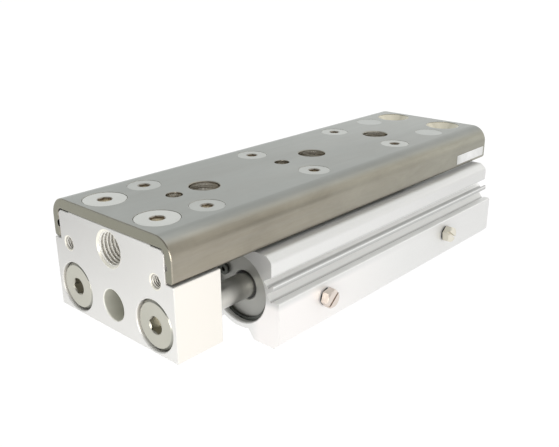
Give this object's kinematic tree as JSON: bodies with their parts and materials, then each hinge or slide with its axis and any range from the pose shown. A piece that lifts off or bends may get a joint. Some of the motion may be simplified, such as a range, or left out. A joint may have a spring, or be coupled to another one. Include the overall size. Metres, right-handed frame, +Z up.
{
  "type": "pneumatic slide table",
  "caption": "Compact pneumatic slide table: a twin-bore aluminium cylinder body with a bent steel table that slides over it on recirculating balls, driven by piston rods through an end plate.",
  "frame": {"origin": "centre of the body's bottom mounting face", "axes": "+X along the stroke, from the body towards the end plate; +Z up, out of the table's top; +Y towards the side with the plugged ports"},
  "size_m": [0.213, 0.0933, 0.0542],
  "materials": {
    "anodised_body": "matt clear anodised",
    "anodised_plate": "matt clear anodised, finely milled",
    "table_steel": "ground and brushed stainless steel",
    "guide_steel": "ground hardened steel",
    "screw_steel": "satin zinc plated",
    "rod_chrome": "hard chromed and ground",
    "ball_steel": "polished bearing steel",
    "resin": "moulded resin",
    "nitrile": "nitrile rubber",
    "black_ring": "blackened spring steel",
    "bronze": "oil-filled bearing bronze",
    "nickel_plug": "nickel plated brass",
    "label_film": "white label film, blank",
    "magnet": "bonded magnet"
  },
  "bodies": {
    "body": {"cylinder_body": "anodised_body", "guide_block": "guide_steel", "guide_block_screws": "screw_steel", "return_caps_front": "resin", "return_caps_rear": "resin", "scrapers_front": "nitrile", "scrapers_rear": "nitrile", "return_cap_screws": "screw_steel", "guide_balls": "ball_steel", "rod_cover_left": "anodised_plate", "rod_cover_right": "anodised_plate", "rod_seals": "nitrile", "rod_bushings": "bronze", "rod_cover_o_rings": "nitrile", "rod_cover_retaining_rings": "black_ring", "head_cap_left": "anodised_plate", "head_cap_right": "anodised_plate", "head_cap_o_rings": "nitrile", "head_cap_retaining_rings": "black_ring", "front_bumpers": "nitrile", "rear_bumpers": "nitrile", "port_plug_front": "nickel_plug", "port_plug_rear": "nickel_plug", "port_plug_gaskets": "nitrile", "passage_plugs": "screw_steel"},
    "slide": {"table": "table_steel", "table_backing_plate": "anodised_plate", "backing_plate_screws": "screw_steel", "table_blank_plugs": "screw_steel", "end_plate": "anodised_plate", "end_plate_screws": "screw_steel", "rod_left": "rod_chrome", "rod_right": "rod_chrome", "floating_bush_left": "guide_steel", "floating_bush_right": "guide_steel", "rod_end_screw_left": "screw_steel", "rod_end_screw_right": "screw_steel", "piston_left": "anodised_body", "piston_right": "anodised_body", "piston_nuts": "screw_steel", "piston_seals": "nitrile", "piston_magnets": "magnet", "piston_wear_rings": "resin", "blank_label": "label_film"}
  },
  "joints": [
    {"name": "table_slide", "type": "slide", "parent": "body", "child": "slide", "axis": [1, 0, 0], "range_m": [0, 0.1]}
  ]
}
